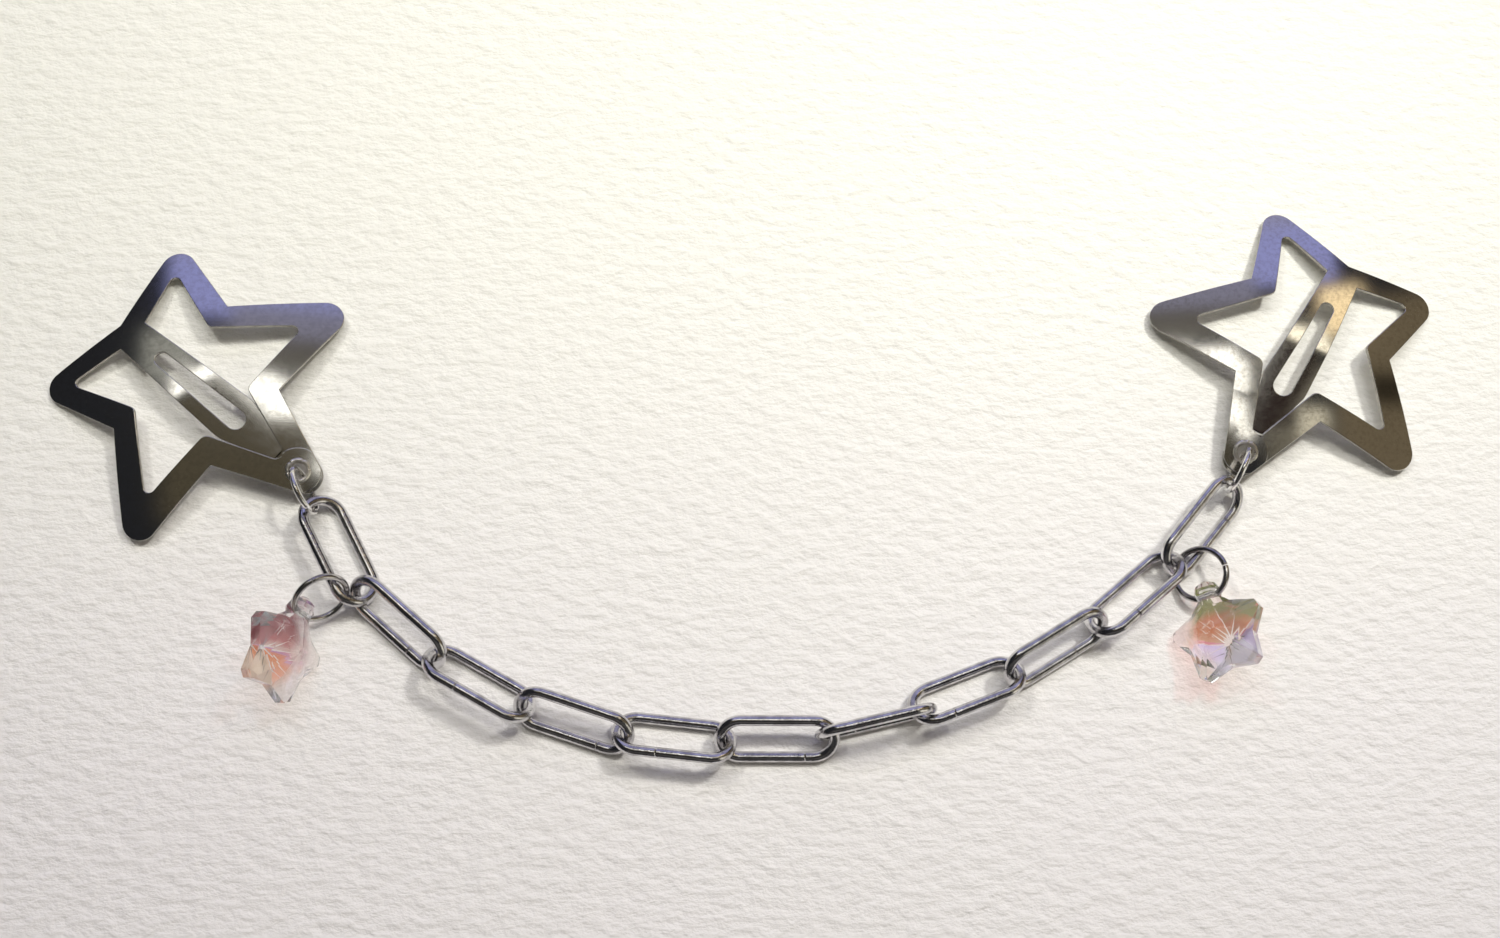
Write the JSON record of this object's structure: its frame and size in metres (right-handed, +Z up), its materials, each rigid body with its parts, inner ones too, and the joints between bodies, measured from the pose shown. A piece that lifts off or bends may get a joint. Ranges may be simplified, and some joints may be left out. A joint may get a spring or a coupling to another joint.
{
  "type": "hair chain with star snap clips",
  "caption": "Hair jewellery: an oval link chain between star-shaped snap clips, with faceted glass star drops on jump rings, laid flat in a shallow curve.",
  "frame": {"origin": "on the surface that the chain lies on, under the middle of the whole object's box", "axes": "+X from the left clip to the right clip, +Y across the object away from the sag of the chain, +Z up from the surface"},
  "size_m": [0.2196, 0.0894, 0.013],
  "materials": {
    "spring_steel": "nickel plated, brushed and a little tarnished",
    "rivet_steel": "bright plated",
    "chain_steel": "polished",
    "dark_ring": "polished, darkened",
    "clear_glass": "clear with a rainbow coating"
  },
  "bodies": {
    "root": {"left_star_clip": "spring_steel", "left_eyelet": "rivet_steel", "left_clip_ring": "chain_steel", "link_01": "chain_steel", "link_02": "chain_steel", "link_03": "chain_steel", "link_04": "chain_steel", "link_05": "chain_steel", "link_06": "chain_steel", "link_07": "chain_steel", "link_08": "chain_steel", "link_09": "chain_steel", "link_10": "chain_steel", "link_11": "chain_steel", "left_charm_ring": "dark_ring", "left_glass_star": "clear_glass", "right_charm_ring": "dark_ring", "right_glass_star": "clear_glass", "right_clip_ring": "chain_steel", "right_eyelet": "rivet_steel", "right_star_clip": "spring_steel"}
  },
  "joints": []
}
